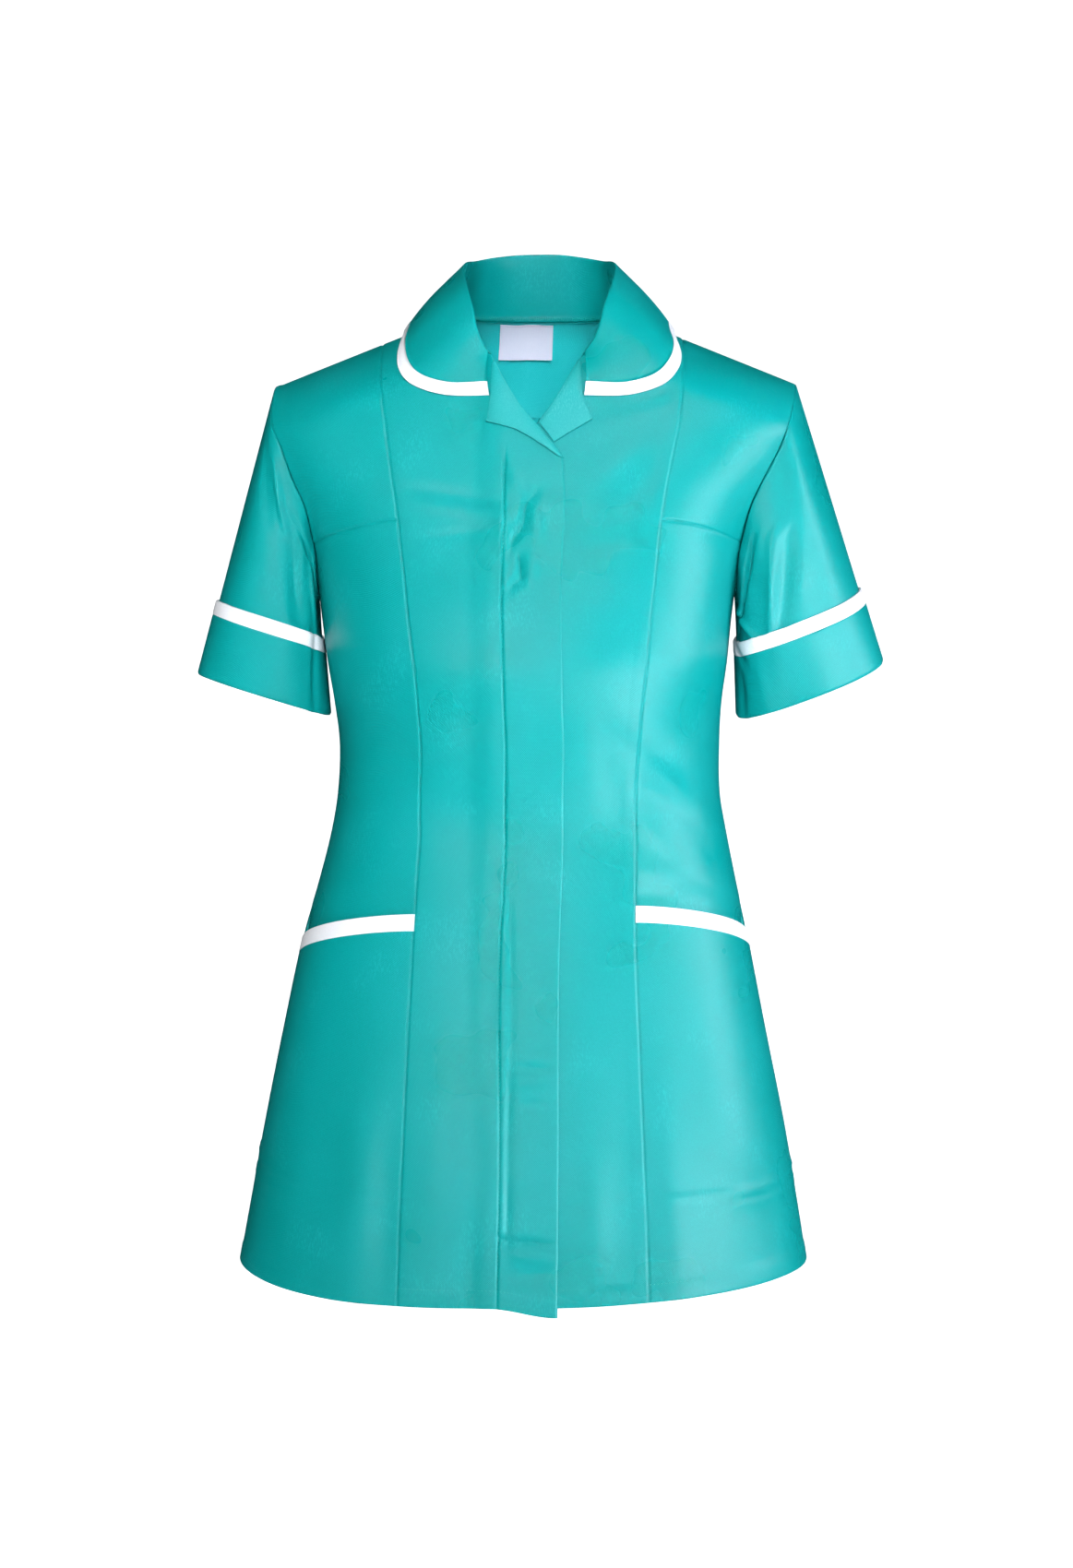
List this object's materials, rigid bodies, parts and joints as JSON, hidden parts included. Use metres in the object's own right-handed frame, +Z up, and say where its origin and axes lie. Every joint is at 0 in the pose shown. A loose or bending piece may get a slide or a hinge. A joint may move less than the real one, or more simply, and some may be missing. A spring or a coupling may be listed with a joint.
{
  "type": "work tunic",
  "caption": "Short-sleeved front-lapping work tunic in worn form, hollow, with rounded white-edged collar, revers, turned-up cuffs, curved hip pockets and open neck, hem and cuffs.",
  "frame": {"origin": "on the centre line of the neck opening, level with the points where the shoulder seams meet the neck, where the wearer's shoulders hold the tunic", "axes": "+Z up along the wearer's body, -Y out of the tunic's front, +X towards the wearer's left"},
  "size_m": [0.5006, 0.2646, 0.7562],
  "materials": {
    "teal_cloth": "soft sheen twill",
    "white_trim": "matt plain weave",
    "woven_label": "smooth satin weave"
  },
  "bodies": {
    "root": {"front_right": "teal_cloth", "front_left": "teal_cloth", "shoulder_front_right": "teal_cloth", "shoulder_front_left": "teal_cloth", "side_front_right": "teal_cloth", "side_front_left": "teal_cloth", "pocket_right": "teal_cloth", "pocket_left": "teal_cloth", "back_yoke": "teal_cloth", "back_panel": "teal_cloth", "sleeve_right": "teal_cloth", "sleeve_left": "teal_cloth", "cuff_right": "teal_cloth", "cuff_left": "teal_cloth", "collar": "teal_cloth", "rever_right": "teal_cloth", "rever_left": "teal_cloth", "pocket_trim_right": "white_trim", "pocket_trim_left": "white_trim", "cuff_trim_right": "white_trim", "cuff_trim_left": "white_trim", "collar_trim": "white_trim", "neck_label": "woven_label"}
  },
  "joints": []
}
